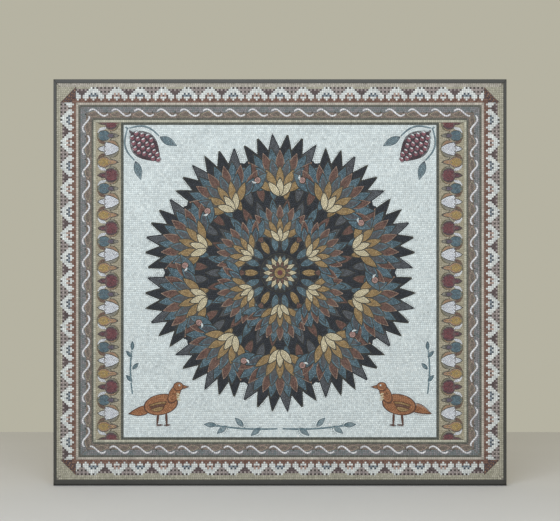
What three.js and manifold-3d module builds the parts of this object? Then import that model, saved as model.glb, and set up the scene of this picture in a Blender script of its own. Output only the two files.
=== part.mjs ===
// Framed mosaic panel: a slim metal frame round a board, a mortar bed and flush stone inlays.
// Millimetres, +X right, +Z up, +Y into the wall. The origin is the middle of the board's back face.
import * as THREE from 'three';
import { mergeVertices } from 'three/addons/utils/BufferGeometryUtils.js';
import Module from 'manifold-3d';

const wasm = await Module();
wasm.setup();
const at = (x, y) => new THREE.Vector2(x, y);

// Panel, and the frame rails of L section: an edge web and a front lip
const panelWidth = 1400;
const panelHeight = 1256;
const lipWidth = { side: 9, top: 11.5, bottom: 18 };
const webThickness = 3;
const footWeb = 10; // the bottom rail's heavier web
const footHeight = 5.5; // its foot, set back from the face
const footSetBack = 8;

// Layers from the back face forward, and the joint left between neighbouring pieces
const boardDepth = 18;
const bedDepth = 5;
const stoneDepth = 6;
const lipDepth = 3;
const gap = 0.3;
const halfGap = gap / 2;

// Borders from the frame inward; the lotus band stands on the left and right sides only
const marginWidth = { side: 12, top: 12, bottom: 14 };
const zigzagBand = 36;
const redLine = 12;
const outerFillet = 8;
const waveBand = 46;
const innerFillet = 7.5;
const lotusBand = 78;
const darkLine = 8;

// White zigzag: 1 in 1 steps between flat tops and valleys, with a cut period at both ends
const stone = 6;
const zigzagValley = stone;
const zigzagFlat = stone;
const zigzagEnd = 3 * stone;
const zigzagCount = { top: 17, left: 15, bottom: 17, right: 15 };

// Lotus chain: flowers point outward and inward by turns; the first and last are cut at the middle
const lotusSteps = 24;
const lotusTip = 33;
const lotusWaist = 13;
const lotusBulb = 27;
const lotusBulbHalf = 0.3; // of one step
const lotusWaistHalf = 0.42;

// Leaf medallion: two rings of leaf fans round a rosette, on a dark ground with ragged leaf tips
const medallionCentre = at(0, 30);
const tipFans = { count: 10, origin: 235 }; // the tips fan out from points on this radius
const darkTips = { count: 6, spread: 70, reach: 200, valley: 152 };
const tipShoulder = { turn: 0.34, height: 0.55 }; // of the step to the next tip, and of its rise
const outerFan = { count: 10, near: 234, far: 370, side: 296, tips: 7, spread: 31, notch: 20 };
const innerFan = { count: 6, near: 70, far: 219, side: 140, tips: 5, spread: 52, notch: 18 };
const rosetteRadius = 61;
const rosettePetals = 12;

// Motifs round the medallion, as offsets from the picture's nearest corner
const grapeStem = at(6, 6);
const birdPlace = at(115, 101);
const birdScale = 0.9;
const sprigPlace = at(27, 134);
const sprig = { length: 150, leaves: 3, leafLength: 28 };
const scroll = { fromMiddle: 8, height: 26, droop: 0.06, length: 210, leaves: 3, leafLength: 38 };
const stemWidth = 9;
const stemBend = 6;
const leafSlimness = 0.4;
const leafTurn = 0.75;

const colours = {
  frame: '#4a4a46',
  board: '#b39a76',
  mortar: '#8f8a7e',
  margin: '#b0aa92',
  white: '#dcdcdc',
  red: '#6c4a3f',
  cream: '#c9bfac',
  wave: '#6f706e',
  lotus: '#7b4a52',
  dark: '#4f534e',
  navy: '#26272e',
  teal: '#5c7078',
  ochre: '#a8814a',
  grape: '#8a4a52',
  russet: '#a8704a',
  sprig: '#5f707c',
};

const panel = new THREE.Group();

function addPiece(name, geometry, colour, roughness, metalness = 0) {
  const material = new THREE.MeshStandardMaterial({ color: colour, roughness, metalness });
  const mesh = new THREE.Mesh(geometry, material);
  mesh.name = name;
  panel.add(mesh);
  return mesh;
}

// Plates are drawn flat in x and y, and stood up in the panel with their backs at a depth from the wall.
function addLayer(name, geometry, colour, roughness, back) {
  const mesh = addPiece(name, geometry, colour, roughness);
  mesh.rotation.x = Math.PI / 2;
  mesh.position.y = -back;
}

function addStone(name, geometry, colour) {
  addLayer(name, geometry, colour, 0.55, boardDepth + bedDepth + gap);
}

// Outlines are lists of points that run counterclockwise in the panel's face, x right and y up.

function grow(outline, by) {
  return outline.map((point, i) => {
    const before = point.clone().sub(outline.at(i - 1)).normalize();
    const after = outline[(i + 1) % outline.length].clone().sub(point).normalize();
    const normal = at(before.y + after.y, -before.x - after.x);
    return point.clone().addScaledVector(normal, by / (1 + before.dot(after)));
  });
}

function mirrored(outline) {
  return outline.map((point) => at(-point.x, point.y)).reverse();
}

function moved(outline, place, turn = 0, scale = 1) {
  const origin = at(0, 0);
  return outline.map((point) => point.clone().multiplyScalar(scale).rotateAround(origin, turn).add(place));
}

// Rounded to the micrometre, so that points meant to lie in one line do.
function rounded(outline) {
  const fine = 1000;
  return outline.map((point) => point.clone().multiplyScalar(fine).round().divideScalar(fine));
}

function plate(outline, holes = [], depth = stoneDepth - gap) {
  const shape = new THREE.Shape(rounded(outline));
  shape.holes = holes.map((hole) => new THREE.Path(rounded(hole)));
  return new THREE.ExtrudeGeometry(shape, { depth, bevelEnabled: false });
}

function toManifold(geometry) {
  geometry.deleteAttribute('normal');
  geometry.deleteAttribute('uv');
  const merged = mergeVertices(geometry);
  const vertProperties = new Float32Array(merged.attributes.position.array);
  const triVerts = new Uint32Array(merged.index.array);
  return new wasm.Manifold(new wasm.Mesh({ numProp: 3, vertProperties, triVerts }));
}

function fromManifold(solid) {
  const { vertProperties, triVerts } = solid.getMesh();
  const geometry = new THREE.BufferGeometry();
  geometry.setAttribute('position', new THREE.BufferAttribute(vertProperties, 3));
  geometry.setIndex(new THREE.BufferAttribute(triVerts, 1));
  const faceted = geometry.toNonIndexed();
  faceted.computeVertexNormals();
  return faceted;
}

// Joins overlapping outlines into one plate; cutting tools are grown by half a gap, pieces shrunk by it.
function joined(outlines, by) {
  const solids = outlines.map((outline) => toManifold(plate(grow(outline, by))));
  return solids.reduce((whole, next) => whole.add(next));
}

// Rectangles of the borders

function rectangle(left, bottom, right, top) {
  return { left, bottom, right, top };
}

function inset(box, side, top = side, bottom = side) {
  return rectangle(box.left + side, box.bottom + bottom, box.right - side, box.top - top);
}

function corners(box) {
  const { left, bottom, right, top } = box;
  return [at(left, bottom), at(right, bottom), at(right, top), at(left, top)];
}

function ring(outer, inner) {
  return plate(grow(corners(outer), -halfGap), [grow(corners(inner), halfGap)]);
}

const outside = rectangle(-panelWidth / 2, -panelHeight / 2, panelWidth / 2, panelHeight / 2);
const behindLip = inset(outside, webThickness + gap, webThickness + gap, footWeb + gap);
const sight = inset(outside, lipWidth.side, lipWidth.top, lipWidth.bottom);
const zigzagEdge = inset(sight, marginWidth.side, marginWidth.top, marginWidth.bottom);
const redEdge = inset(zigzagEdge, zigzagBand);
const filletEdge = inset(redEdge, redLine);
const waveEdge = inset(filletEdge, outerFillet);
const innerFilletEdge = inset(waveEdge, waveBand);
const lotusEdge = inset(innerFilletEdge, innerFillet);
const darkEdge = inset(lotusEdge, lotusBand, 0, 0);
const picture = inset(darkEdge, darkLine);

// Frame: the section is (across, depth) with across measured inward from the rail's outer face.

function railSection(lip, hasFoot) {
  const depth = boardDepth + bedDepth + stoneDepth + lipDepth;
  const lipBack = depth - lipDepth + gap;
  const web = hasFoot ? footWeb : webThickness;
  const outer = hasFoot
    ? [[0, 0], [0, depth - footSetBack], [footHeight, depth - footSetBack], [footHeight, depth]]
    : [[0, 0], [0, depth]];
  const inner = [[lip, depth], [lip, lipBack], [web, lipBack], [web, 0]];
  return [...outer, ...inner].map(([across, out]) => at(across, out));
}

// A rail is its section swept along its length, with each end cut along the corner's mitre line.
// The lips of the rails that it meets set how far each cut runs in.
function rail(length, lip, [startLip, endLip], hasFoot) {
  const section = new THREE.Shape(railSection(lip, hasFoot));
  const geometry = new THREE.ExtrudeGeometry(section, { depth: 1, bevelEnabled: false });
  const place = geometry.attributes.position;
  for (let i = 0; i < place.count; i += 1) {
    const across = place.getX(i);
    const out = place.getY(i);
    const isStart = place.getZ(i) < 0.5;
    const cut = (across * (isStart ? startLip : endLip)) / lip + halfGap;
    const along = isStart ? cut - length / 2 : length / 2 - cut;
    place.setXYZ(i, along, -out, across);
  }
  return geometry;
}

function addRail(side, geometry, turn, x, z) {
  const mesh = addPiece(`frame_${side}`, geometry, colours.frame, 0.45, 0.7);
  mesh.rotation.y = turn;
  mesh.position.set(x, 0, z);
}

function addFrame() {
  const { side, top, bottom } = lipWidth;
  addRail('bottom', rail(panelWidth, bottom, [side, side], true), 0, 0, outside.bottom);
  addRail('top', rail(panelWidth, top, [side, side], false), Math.PI, 0, outside.top);
  addRail('left', rail(panelHeight, side, [top, bottom], false), Math.PI / 2, outside.left, 0);
  addRail('right', rail(panelHeight, side, [bottom, top], false), -Math.PI / 2, outside.right, 0);
}

function addBacking() {
  addLayer('backing_board', plate(corners(behindLip), [], boardDepth), colours.board, 0.8, 0);
  const bed = plate(corners(behindLip), [], bedDepth - gap);
  addLayer('mortar_bed', bed, colours.mortar, 0.9, boardDepth + gap);
}

// Zigzag border: each side lies between two cut corners, and runs counterclockwise round the panel.

function zigzagSides() {
  const middle = (redEdge.top + redEdge.bottom) / 2;
  const width = filletEdge.right - filletEdge.left;
  const height = filletEdge.top - filletEdge.bottom;
  const quarter = Math.PI / 2;
  return {
    bottom: { place: at(0, redEdge.bottom), length: width, turn: 0, ending: 'bottom_right' },
    right: { place: at(redEdge.right, middle), length: height, turn: quarter, ending: 'top_right' },
    top: { place: at(0, redEdge.top), length: width, turn: 2 * quarter, ending: 'top_left' },
    left: { place: at(redEdge.left, middle), length: height, turn: -quarter, ending: 'bottom_left' },
  };
}

// The zigzag's outer line from left to right along +X, with outward along -Y.
function zigzagLine(length, count) {
  const period = (length - 2 * zigzagEnd) / count;
  const points = [at(-length / 2, -zigzagValley - zigzagEnd)];
  for (let i = 0; i <= count; i += 1) {
    const valley = zigzagEnd - length / 2 + i * period;
    points.push(at(valley, -zigzagValley));
    if (i < count) {
      const middle = valley + period / 2;
      points.push(at(middle - zigzagFlat, -zigzagBand), at(middle + zigzagFlat, -zigzagBand));
    }
  }
  points.push(at(length / 2, -zigzagValley - zigzagEnd));
  return points;
}

// A cut corner at the end of a side, with a notch for the red line's own corner.
function cornerOutline(end, turn) {
  const leg = redLine + zigzagBand;
  const cut = [at(0, 0), at(0, -zigzagBand), at(leg, redLine)];
  return moved([...cut, at(redLine, redLine), at(redLine, 0)], end, turn);
}

function addZigzag() {
  const whole = [];
  for (const [side, { place, length, turn, ending }] of Object.entries(zigzagSides())) {
    const line = zigzagLine(length, zigzagCount[side]);
    const base = [at(length / 2, 0), at(-length / 2, 0)];
    const [end] = moved(base, place, turn);
    const corner = cornerOutline(end, turn);
    const zigzag = moved([...line, ...base], place, turn);
    addStone(`white_zigzag_${side}`, plate(grow(zigzag, -halfGap)), colours.white);
    addStone(`corner_check_${ending}`, plate(grow(corner, -halfGap)), colours.dark);
    whole.push(...moved(line, place, turn), corner[1], corner[2]);
  }
  addStone('outer_margin', plate(corners(behindLip), [grow(whole, halfGap)]), colours.margin);
}

function addPlainBorders() {
  addStone('red_line', ring(redEdge, filletEdge), colours.red);
  addStone('outer_fillet', ring(filletEdge, waveEdge), colours.cream);
  addStone('wave_border', ring(waveEdge, innerFilletEdge), colours.wave);
  addStone('inner_fillet', ring(innerFilletEdge, lotusEdge), colours.cream);
  addStone('dark_line', ring(darkEdge, picture), colours.dark);
}

// Lotus bands. One edge of the chain from the bottom up: bulbs and pointed tips by turns.

function lotusEdgeLine(startsWithTip) {
  const step = (lotusEdge.top - lotusEdge.bottom) / lotusSteps;
  const points = [];
  for (let i = 0; i <= lotusSteps; i += 1) {
    const isTip = (i % 2 === 0) === startsWithTip;
    const reach = isTip ? [[0, lotusTip]] : [[-lotusBulbHalf, lotusBulb], [lotusBulbHalf, lotusBulb]];
    const waist = [lotusWaistHalf, lotusWaist];
    for (const [along, out] of [...reach, waist]) {
      points.push(at(out, lotusEdge.bottom + (i + along) * step));
    }
  }
  const ends = [lotusEdge.bottom, lotusEdge.top];
  return points.filter((point) => point.y > ends[0] && point.y < ends[1]);
}

function addLotusBand(side, sign) {
  const middle = (lotusEdge.right + darkEdge.right) / 2;
  const outer = lotusEdgeLine(true);
  const inner = lotusEdgeLine(false).map((point) => at(-point.x, point.y));
  const { bottom, top } = lotusEdge;
  const outerLine = [at(lotusWaist, bottom), ...outer, at(lotusWaist, top)];
  const innerLine = [at(-lotusWaist, bottom), ...inner, at(-lotusWaist, top)];
  const half = lotusBand / 2;
  const pieces = {
    lotus_chain: [...outerLine, ...innerLine.toReversed()],
    lotus_ground_outer: [at(half, bottom), at(half, top), ...outerLine.toReversed()],
    lotus_ground_inner: [at(-half, top), at(-half, bottom), ...innerLine],
  };
  for (const [name, points] of Object.entries(pieces)) {
    const placed = moved(points, at(middle, 0));
    const outline = sign > 0 ? placed : mirrored(placed);
    const colour = name === 'lotus_chain' ? colours.lotus : colours.margin;
    addStone(`${name}_${side}`, plate(grow(outline, -halfGap)), colour);
  }
}

// Leaf: half its width is a sine over its length, and its middle line bends by a sine too.
function leaf(length, width, bend = 0, steps = 3) {
  const sideOf = (sign) => (i) => {
    const wave = Math.sin((Math.PI * i) / steps);
    return at((length * i) / steps, bend * wave + (sign * width * wave) / 2);
  };
  const inside = Array.from({ length: steps - 1 }, (_, i) => i + 1);
  const lower = inside.map(sideOf(-1));
  const upper = inside.toReversed().map(sideOf(1));
  return [at(0, 0), ...lower, at(length, 0), ...upper];
}

function disc(radiusX, radiusY, count) {
  const angles = Array.from({ length: count }, (_, i) => (2 * Math.PI * i) / count);
  return angles.map((angle) => at(radiusX * Math.cos(angle), radiusY * Math.sin(angle)));
}

function polar(angle, radius) {
  return at(Math.cos(angle), Math.sin(angle)).multiplyScalar(radius);
}

// Medallion

function headings(count) {
  return Array.from({ length: count }, (_, i) => Math.PI / 2 + (2 * Math.PI * i) / count);
}

// Ragged outline: each leaf tip falls to a full shoulder on one side, then to the next valley.
function medallionOutline() {
  const step = THREE.MathUtils.degToRad(darkTips.spread) / (darkTips.count - 1);
  const { reach, valley } = darkTips;
  const shoulder = valley + tipShoulder.height * (reach - valley);
  const points = [];
  for (const heading of headings(tipFans.count)) {
    const place = polar(heading, tipFans.origin).add(medallionCentre);
    for (let i = 0; i < darkTips.count; i += 1) {
      const angle = heading + (i - (darkTips.count - 1) / 2) * step;
      points.push(polar(angle, reach).add(place));
      points.push(polar(angle + tipShoulder.turn * step, shoulder).add(place));
      points.push(polar(angle + step / 2, valley).add(place));
    }
  }
  return points;
}

// A fan opens from one point to leaf tips whose radius falls off towards its sides.
function fanOutline(heading, { near, far, side, tips, spread, notch }) {
  const half = THREE.MathUtils.degToRad(spread) / 2;
  const points = [polar(heading, near)];
  for (let i = 0; i <= 2 * (tips - 1); i += 1) {
    const across = i / (tips - 1) - 1;
    const radius = far - (far - side) * across * across - (i % 2) * notch;
    points.push(polar(heading + across * half, radius));
  }
  return moved(points, medallionCentre);
}

function rosetteOutline() {
  const points = disc(1, 1, 2 * rosettePetals);
  const radius = (i) => (i % 2 === 0 ? rosetteRadius : rosetteRadius - stone);
  return points.map((point, i) => point.multiplyScalar(radius(i)).add(medallionCentre));
}

function addMedallion() {
  const inlays = [rosetteOutline()];
  for (const [name, values] of Object.entries({ outer: outerFan, inner: innerFan })) {
    headings(values.count).forEach((heading, i) => {
      const outline = fanOutline(heading, values);
      addStone(`leaf_fan_${name}_${i + 1}`, plate(grow(outline, -halfGap)), colours.teal);
      inlays.push(outline);
    });
  }
  addStone('rosette', plate(grow(rosetteOutline(), -halfGap)), colours.ochre);
  const backing = joined([medallionOutline()], -halfGap).subtract(joined(inlays, halfGap));
  addStone('leaf_medallion', fromManifold(backing), colours.navy);
}

// Motifs in the corners, drawn for the left side of the picture

function grapeOutlines() {
  const start = at(picture.left + grapeStem.x, picture.top - grapeStem.y);
  const turn = -Math.PI / 4;
  const place = (along, across) => moved([at(along, across)], start, turn)[0];
  const parts = {
    bunch: moved(leaf(128, 74, 0, 5), place(22, 0), turn),
    stem: moved(leaf(70, stemWidth), place(0, 0), turn),
    upperStem: moved(leaf(104, stemWidth, 22), place(12, 0), turn + 0.54),
    lowerStem: moved(leaf(104, stemWidth, -22), place(12, 0), turn - 0.54),
    upperLeaf: moved(leaf(56, 22), place(94, 52), turn + 0.3),
    lowerLeaf: moved(leaf(56, 22), place(94, -52), turn - 0.5),
  };
  return Object.values(parts);
}

function birdOutlines() {
  const down = -Math.PI / 2;
  const parts = {
    body: moved(disc(60, 36, 12), at(0, 0), 0.2),
    neck: moved(disc(36, 19, 8), at(46, 36), 1.1),
    head: moved(disc(18, 16, 10), at(60, 62)),
    beak: [at(72, 54), at(96, 60), at(72, 70)],
    tail: moved(leaf(96, 34, 4), at(-22, -4), Math.PI + 0.3),
    backLeg: moved(leaf(60, stemWidth), at(-8, -22), down - 0.1),
    frontLeg: moved(leaf(60, stemWidth), at(18, -22), down + 0.05),
  };
  const place = at(picture.left + birdPlace.x, picture.bottom + birdPlace.y);
  return Object.values(parts).map((outline) => moved(outline, place, 0, birdScale));
}

// A sprig is a bent stem with leaves on both sides by turns, and one at its end.
function sprigOutlines(start, heading, { length, leaves, leafLength }) {
  const outline = leaf(leafLength, leafLength * leafSlimness);
  const sideLeaves = Array.from({ length: leaves }, (_, i) => {
    const offset = at((length * (i + 1)) / (leaves + 1), stemWidth / 3);
    const sideways = i % 2 === 0 ? 1 : -1;
    return moved(outline, moved([offset], start, heading)[0], heading + sideways * leafTurn);
  });
  const endLeaf = moved(outline, polar(heading, length * 0.9).add(start), heading);
  return [moved(leaf(length, stemWidth, stemBend), start, heading), ...sideLeaves, endLeaf];
}

function scrollOutlines() {
  const start = at(scroll.fromMiddle, picture.bottom + scroll.height);
  const half = sprigOutlines(start, Math.PI - scroll.droop, scroll);
  return [...half, ...half.map(mirrored)];
}

function addPicture() {
  const sprigStart = at(picture.left + sprigPlace.x, picture.bottom + sprigPlace.y);
  const sided = {
    grapes: [grapeOutlines(), colours.grape],
    bird: [birdOutlines(), colours.russet],
    sprig: [sprigOutlines(sprigStart, Math.PI / 2, sprig), colours.sprig],
  };
  const motifs = { leaf_scroll: [scrollOutlines(), colours.sprig] };
  for (const [name, [outlines, colour]] of Object.entries(sided)) {
    motifs[`${name}_left`] = [outlines, colour];
    motifs[`${name}_right`] = [outlines.map(mirrored), colour];
  }
  let ground = toManifold(plate(grow(corners(picture), -halfGap)));
  for (const [name, [outlines, colour]] of Object.entries(motifs)) {
    addStone(name, fromManifold(joined(outlines, -halfGap)), colour);
    ground = ground.subtract(joined(outlines, halfGap));
  }
  ground = ground.subtract(joined([medallionOutline()], halfGap));
  addStone('white_ground', fromManifold(ground), colours.white);
}

addFrame();
addBacking();
addZigzag();
addPlainBorders();
addLotusBand('left', -1);
addLotusBand('right', 1);
addMedallion();
addPicture();

export default panel;
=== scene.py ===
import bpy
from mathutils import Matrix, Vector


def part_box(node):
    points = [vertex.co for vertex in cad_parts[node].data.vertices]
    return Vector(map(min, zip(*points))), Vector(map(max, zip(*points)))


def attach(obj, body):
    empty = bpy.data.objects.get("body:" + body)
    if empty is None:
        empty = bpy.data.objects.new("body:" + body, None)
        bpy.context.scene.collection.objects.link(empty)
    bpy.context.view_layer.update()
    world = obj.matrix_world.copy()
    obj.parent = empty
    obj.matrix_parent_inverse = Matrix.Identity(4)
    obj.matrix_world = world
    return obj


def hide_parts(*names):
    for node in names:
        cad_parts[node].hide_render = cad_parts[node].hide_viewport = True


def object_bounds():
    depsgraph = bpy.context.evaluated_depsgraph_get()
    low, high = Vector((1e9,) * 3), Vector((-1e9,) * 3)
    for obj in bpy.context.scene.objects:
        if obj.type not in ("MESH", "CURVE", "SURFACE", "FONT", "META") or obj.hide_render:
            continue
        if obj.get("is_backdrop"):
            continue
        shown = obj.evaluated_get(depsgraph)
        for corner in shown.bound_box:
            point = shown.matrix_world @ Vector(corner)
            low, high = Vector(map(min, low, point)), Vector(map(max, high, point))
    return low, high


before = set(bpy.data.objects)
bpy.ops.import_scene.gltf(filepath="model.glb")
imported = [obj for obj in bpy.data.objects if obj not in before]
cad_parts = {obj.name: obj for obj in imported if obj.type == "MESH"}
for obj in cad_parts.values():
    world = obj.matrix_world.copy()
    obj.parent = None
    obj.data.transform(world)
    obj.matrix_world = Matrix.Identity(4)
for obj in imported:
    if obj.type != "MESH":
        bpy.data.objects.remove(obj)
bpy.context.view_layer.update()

import math

import bmesh
import bpy
import numpy as np

# A framed mosaic panel. Its stones are worked out in millimetres, x right and z up on the panel's face.
stonesOf = {}  # node name -> list of (corners of its stones, paint of each)

stoneCut = {
    "front": 29.0,     # stone faces, from the wall
    "bedding": 28.3,   # grout level, from the wall
    "grout": 0.42,     # joint between two stones
    "groutShade": 0.66,  # grout's part of the mean colour of its stones: their tint, darkened as painted shade in the joints
    "arris": 0.22,     # slope of a stone's sides
    "tilt": 0.07,      # how far a corner may sink
    "tint": 0.075,     # spread of lightness from stone to stone
    "cell": 0.5,       # grid on which the drawing is laid out
    "smallest": 3.5,   # square millimetres, smaller chips are left to the grout
}

# Each paint is a pair of stone colours, and a stone takes one between them.
paints = {
    "white": ("#d3dcdf", "#e2e9ea"),
    "zigzagWhite": ("#cfd2d2", "#e6e8e6"),
    "beige": ("#a5a18f", "#b7b2a2"),
    "pinkBeige": ("#b0aa9f", "#c0b8ae"),
    "red": ("#6a473c", "#87695d"),
    "purple": ("#4b3b40", "#5f4f52"),
    "dot": ("#3a3534", "#524a48"),
    "greyPink": ("#95898a", "#a99d9a"),
    "navyDot": ("#39424f", "#4c5866"),
    "navyPale": ("#7c8792", "#929ca5"),
    "wineDot": ("#4a3434", "#5f4546"),
    "pale": ("#a5887c", "#b89c90"),
    "brown": ("#6f5245", "#8a6d5c"),
    "cream": ("#b3a99f", "#c3bbb0"),
    "oliveCream": ("#b1ae9e", "#c2bfae"),
    "waveEdge": ("#54554d", "#686960"),
    "waveOuter": ("#6e787a", "#8b868a"),
    "waveInner": ("#6a6158", "#8a7970"),
    "lens": ("#97917a", "#a98f84"),
    "stroke": ("#d8d6dc", "#ecebee"),
    "ink": ("#34352f", "#4b4a42"),
    "lotusGround": ("#a39b86", "#b5ac97"),
    "lotusWine": ("#5c2a35", "#7c4048"),
    "lotusPurple": ("#4a2d3b", "#65434f"),
    "lotusTeal": ("#415b68", "#607b88"),
    "lotusPlum": ("#544c60", "#6f6577"),
    "lotusOchre": ("#a4874b", "#bb9f63"),
    "lotusWhite": ("#d0d4df", "#e5e8ee"),
    "peach": ("#a07c62", "#b39277"),
    "sepalBrown": ("#5b413a", "#77594c"),
    "sepalGrey": ("#7f7d75", "#989589"),
    "oliveDark": ("#55513f", "#6a644e"),
    "darkLine": ("#4e5049", "#666862"),
    "navy": ("#171c24", "#2b313b"),
    "tealLeaf": ("#435b68", "#65818f"),
    "greyLeaf": ("#484b52", "#60646a"),
    "rust": ("#60423b", "#7a5b51"),
    "rustEdge": ("#99796a", "#b09785"),
    "ochreLeaf": ("#917549", "#ac9066"),
    "creamLeaf": ("#cdbf9c", "#ded3b6"),
    "fruit": ("#a8807c", "#c09a92"),
    "grape": ("#7c4450", "#a8707a"),
    "grapeDark": ("#33222a", "#49313a"),
    "blueGrey": ("#5f7782", "#7d929a"),
    "blueGreyEdge": ("#485c67", "#566b75"),
    "russet": ("#946142", "#b07c58"),
    "russetEdge": ("#4b2f28", "#62423a"),
}
paintNumber = {name: number for number, name in enumerate(paints)}


def toLinear(text):
    # sRGB hex to linear: c / 12.92 in the darks, ((c + 0.055) / 1.055) ^ 2.4 elsewhere
    c = np.array([int(text[i:i + 2], 16) for i in (1, 3, 5)]) / 255
    return np.where(c < 0.04045, c / 12.92, ((c + 0.055) / 1.055) ** 2.4)


paintEnds = np.array([[toLinear(end) for end in ends] for ends in paints.values()])


def faceBox(node):
    # left, bottom, right and top of a node's face, in millimetres
    low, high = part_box(node)
    return np.array([low[0], low[2], high[0], high[2]]) * 1000


def keep(node, corners, numbers):
    # stones wait here until their node's piece is built
    stonesOf.setdefault(node, []).append((corners, numbers))


def newField(box):
    # shapes are painted over each other on this fine grid, and each cell takes a stone's key
    cell = stoneCut["cell"]
    left, bottom, right, top = box
    x = np.arange(left + cell / 2, right, cell)
    z = np.arange(bottom + cell / 2, top, cell)
    shape = (len(z), len(x))
    return {
        "x": x, "z": z, "shapes": 0, "homes": [],
        "key": np.full(shape, -1, np.int64),
        "angle": np.zeros(shape, np.float32),
        "paint": np.zeros(shape, np.int16),
        "home": np.zeros(shape, np.int16),
    }


def windowOf(field, place, reach):
    # the rows and columns of cells within a square of half side reach round a place
    x0, x1 = np.searchsorted(field["x"], (place[0] - reach, place[0] + reach))
    z0, z1 = np.searchsorted(field["z"], (place[1] - reach, place[1] + reach))
    dx, dz = np.meshgrid(field["x"][x0:x1] - place[0], field["z"][z0:z1] - place[1])
    return (slice(z0, z1), slice(x0, x1)), dx, dz


def putStones(field, window, mask, row, column, side, angle, tones, home):
    # a key joins the shape's number, the course, the stone's place in it and the side of the middle line
    field["shapes"] += 1
    if home not in field["homes"]:
        field["homes"].append(home)
    key = ((field["shapes"] * 64 + row) * 4096 + column + 2048) * 3 + side + 1
    tone = np.array([paintNumber[name] for name in tones])[np.clip(row, 0, len(tones) - 1)]
    field["key"][window][mask] = key[mask]
    field["angle"][window][mask] = np.broadcast_to(angle, mask.shape)[mask]
    field["paint"][window][mask] = tone[mask]
    field["home"][window][mask] = field["homes"].index(home)


def paintBlade(field, place, turn, length, half, middle, tones, home, edge=2.6, course=4.4, stone=5.5):
    # points within half(t) of the middle line middle(t), t from 0 to 1 along the blade; courses follow its
    # edge, course number = 1 + (depth - edge) / course, and the courses of both sides join where they meet
    reach = length + 2 * np.max(half(np.linspace(0, 1, 9)))
    window, dx, dz = windowOf(field, place, reach)
    if dx.size == 0:
        return
    along = dx * math.cos(turn) + dz * math.sin(turn)
    t = np.clip(along / length, 0, 1)
    offset = -dx * math.sin(turn) + dz * math.cos(turn) - middle(t)
    depth = half(t) - np.abs(offset)
    mask = (along > 0) & (along < length) & (depth > 0)
    row = np.where(depth < edge, 0, 1 + np.floor((depth - edge) / course)).astype(np.int64)
    stoneMiddle = np.clip((np.floor(along / stone) + 0.5) * stone / length, 0, 1)
    room = np.maximum(half(stoneMiddle) - edge, 0)
    last = 1 + np.floor(room / course).astype(np.int64)
    rest = room - (last - 1) * course
    row = np.where((row >= last) & (rest < 0.3 * course), np.maximum(last - 1, 0), row)
    joins = (row >= last) & (rest < 0.65 * course) | (room <= 0)
    side = np.where(joins, 0, np.sign(offset)).astype(np.int64)
    column = np.floor(along / stone + 0.5 * (row % 2)).astype(np.int64)
    small = 0.01
    rise = (middle(t + small) - middle(t - small)) / (2 * small * length)
    spread = (half(np.clip(t + small, 0, 1)) - half(np.clip(t - small, 0, 1))) / (2 * small * length)
    angle = turn + np.arctan(rise + side * spread)
    putStones(field, window, mask, row, column, side, angle, tones, home)


def leafShape(width, bend=0, skew=0.85):
    # half width = width / 2 * sin(pi t^skew), middle line = bend * sin(pi t)
    half = lambda t: width / 2 * np.sin(np.pi * np.clip(t, 0, 1) ** skew)
    middle = lambda t: bend * np.sin(np.pi * t)
    return half, middle


def paintLeaf(field, place, turn, length, width, tones, home, bend=0, skew=0.85, **courses):
    # a blade with a leaf's half width and middle line
    half, middle = leafShape(width, bend, skew)
    paintBlade(field, place, turn, length, half, middle, tones, home, **courses)


def paintHaloedLeaf(field, place, turn, length, width, tones, home, bend=0, skew=0.85, **courses):
    # one course of ground stones follows the leaf's edge
    halo = 5.2
    wide, middle = leafShape(width + 2 * halo, bend, skew)
    back = np.array(place) - halo * np.array([math.cos(turn), math.sin(turn)])
    paintBlade(field, back, turn, length + 2 * halo, wide, middle, ["white"], "white_ground", edge=halo)
    paintLeaf(field, place, turn, length, width, tones, home, bend, skew, **courses)


def paintDisc(field, place, radii, turn, tones, home, edge=2.6, course=4.4, stone=5.2):
    # r = |(a / A, b / B)|, depth = (1 - r) * the smaller radius, courses are rings inward from the edge
    window, dx, dz = windowOf(field, place, max(radii))
    if dx.size == 0:
        return
    a = (dx * math.cos(turn) + dz * math.sin(turn)) / radii[0]
    b = (-dx * math.sin(turn) + dz * math.cos(turn)) / radii[1]
    r = np.hypot(a, b)
    size = min(radii)
    depth = (1 - r) * size
    row = np.where(depth < edge, 0, 1 + np.floor((depth - edge) / course)).astype(np.int64)
    middle = 1 - np.where(row == 0, edge / 2, edge + (row - 0.5) * course) / size
    count = np.maximum(np.round(2 * np.pi * np.maximum(middle, 0) * np.mean(radii) / stone), 1)
    phi = np.arctan2(b, a)
    column = np.floor((phi / (2 * np.pi) + 0.5) * count * 0.9999).astype(np.int64)
    angle = turn + phi + np.pi / 2
    putStones(field, window, depth > 0, row, column, np.zeros_like(row), angle, tones, home)


def paintRows(field, home, tones, pitch, bands=None, turn=0, mask=None, seed=1):
    # straight courses of one pitch, each shifted by its own random part of a stone
    x, z = np.meshgrid(field["x"], field["z"])
    along = x * math.cos(turn) + z * math.sin(turn)
    across = -x * math.sin(turn) + z * math.cos(turn)
    start = across.min()
    row = np.floor((across - start) / pitch[1]).astype(np.int64)
    shift = np.random.default_rng(seed).random(row.max() + 1)
    column = np.floor((along - along.min()) / pitch[0] + shift[row]).astype(np.int64)
    whole = np.ones_like(row, bool) if mask is None else mask(x, z)
    # rows past 60 share keys through the column's own room
    key = row * 4096 + column
    field["shapes"] += 1
    if home not in field["homes"]:
        field["homes"].append(home)
    field["key"][whole] = key[whole] + (field["shapes"] << 40)
    field["angle"][whole] = turn
    band = row if bands is None else bands(row, column)
    field["paint"][whole] = np.array([paintNumber[name] for name in tones])[band % len(tones)][whole]
    field["home"][whole] = field["homes"].index(home)


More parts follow.
